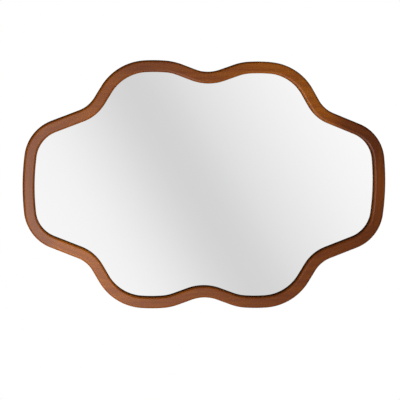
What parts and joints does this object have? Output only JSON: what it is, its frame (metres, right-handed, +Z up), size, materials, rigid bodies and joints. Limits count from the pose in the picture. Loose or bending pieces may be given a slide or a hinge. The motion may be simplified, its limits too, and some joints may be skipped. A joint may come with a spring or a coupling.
{
  "type": "wall mirror",
  "caption": "Wall mirror with a lobed, wavy outline in a rounded solid-wood frame, with a backing board, turn buttons and ring hangers behind.",
  "frame": {"origin": "point on the wall behind the middle of the mirror; the backs of the bumpers lie in the plane Y = 0", "axes": "+X to the viewer's right along the width, +Y into the wall, +Z up; the glass faces -Y"},
  "size_m": [0.914, 0.031, 0.62],
  "materials": {
    "frame_wood": "brown stained wood with fine straight grain under satin lacquer",
    "dowel_wood": "plain beech, unfinished",
    "mirror_silver": "silvered float glass, polished edge",
    "strip_felt": "black felt",
    "board_fibre": "medium density fibreboard, sanded",
    "button_steel": "zinc plated",
    "strap_steel": "zinc plated",
    "ring_steel": "nickel plated wire",
    "screw_steel": "zinc plated",
    "bumper_rubber": "matt black"
  },
  "bodies": {
    "frame": {"frame_right_side": "frame_wood", "frame_left_side": "frame_wood", "frame_upper_right_arm": "frame_wood", "frame_upper_right_crown": "frame_wood", "frame_upper_left_arm": "frame_wood", "frame_upper_left_crown": "frame_wood", "frame_lower_left_arm": "frame_wood", "frame_lower_left_crown": "frame_wood", "frame_lower_right_arm": "frame_wood", "frame_lower_right_crown": "frame_wood", "joint_dowels": "dowel_wood", "mirror_glass": "mirror_silver", "cushion_strip": "strip_felt", "backing_board": "board_fibre", "turn_button_screws": "screw_steel", "hanger_strap_right": "strap_steel", "hanger_strap_left": "strap_steel", "hanger_screws": "screw_steel", "wall_bumper_upper_right": "bumper_rubber", "wall_bumper_upper_left": "bumper_rubber", "wall_bumper_lower_left": "bumper_rubber", "wall_bumper_lower_right": "bumper_rubber"},
    "button_side_right": {"turn_button_side_right": "button_steel"},
    "button_side_left": {"turn_button_side_left": "button_steel"},
    "button_arm_upper_right": {"turn_button_arm_upper_right": "button_steel"},
    "button_crown_upper_right": {"turn_button_crown_upper_right": "button_steel"},
    "button_arm_upper_left": {"turn_button_arm_upper_left": "button_steel"},
    "button_crown_upper_left": {"turn_button_crown_upper_left": "button_steel"},
    "button_arm_lower_left": {"turn_button_arm_lower_left": "button_steel"},
    "button_crown_lower_left": {"turn_button_crown_lower_left": "button_steel"},
    "button_arm_lower_right": {"turn_button_arm_lower_right": "button_steel"},
    "button_crown_lower_right": {"turn_button_crown_lower_right": "button_steel"},
    "ring_left": {"hanger_ring_left": "ring_steel"},
    "ring_right": {"hanger_ring_right": "ring_steel"}
  },
  "joints": [
    {"name": "button_side_right_turn", "type": "hinge", "parent": "frame", "child": "button_side_right", "pos_m": [0.44608, -0.006, -0.03345], "axis": [0, 1, 0], "continuous": true},
    {"name": "button_side_left_turn", "type": "hinge", "parent": "frame", "child": "button_side_left", "pos_m": [-0.44608, -0.006, -0.03345], "axis": [0, 1, 0], "continuous": true},
    {"name": "button_arm_upper_right_turn", "type": "hinge", "parent": "frame", "child": "button_arm_upper_right", "pos_m": [0.38373, -0.006, 0.14753], "axis": [0, 1, 0], "continuous": true},
    {"name": "button_crown_upper_right_turn", "type": "hinge", "parent": "frame", "child": "button_crown_upper_right", "pos_m": [0.131, -0.006, 0.3], "axis": [0, 1, 0], "continuous": true},
    {"name": "button_arm_upper_left_turn", "type": "hinge", "parent": "frame", "child": "button_arm_upper_left", "pos_m": [-0.38373, -0.006, 0.14753], "axis": [0, 1, 0], "continuous": true},
    {"name": "button_crown_upper_left_turn", "type": "hinge", "parent": "frame", "child": "button_crown_upper_left", "pos_m": [-0.131, -0.006, 0.3], "axis": [0, 1, 0], "continuous": true},
    {"name": "button_arm_lower_left_turn", "type": "hinge", "parent": "frame", "child": "button_arm_lower_left", "pos_m": [-0.38373, -0.006, -0.14753], "axis": [0, 1, 0], "continuous": true},
    {"name": "button_crown_lower_left_turn", "type": "hinge", "parent": "frame", "child": "button_crown_lower_left", "pos_m": [-0.131, -0.006, -0.3], "axis": [0, 1, 0], "continuous": true},
    {"name": "button_arm_lower_right_turn", "type": "hinge", "parent": "frame", "child": "button_arm_lower_right", "pos_m": [0.38373, -0.006, -0.14753], "axis": [0, 1, 0], "continuous": true},
    {"name": "button_crown_lower_right_turn", "type": "hinge", "parent": "frame", "child": "button_crown_lower_right", "pos_m": [0.131, -0.006, -0.3], "axis": [0, 1, 0], "continuous": true},
    {"name": "ring_left_swing", "type": "hinge", "parent": "frame", "child": "ring_left", "pos_m": [-0.44382, -0.00352, 0.062], "axis": [1, 0, 0], "range_deg": [0, 177]},
    {"name": "ring_right_swing", "type": "hinge", "parent": "frame", "child": "ring_right", "pos_m": [0.44382, -0.00352, 0.062], "axis": [1, 0, 0], "range_deg": [0, 177]}
  ]
}
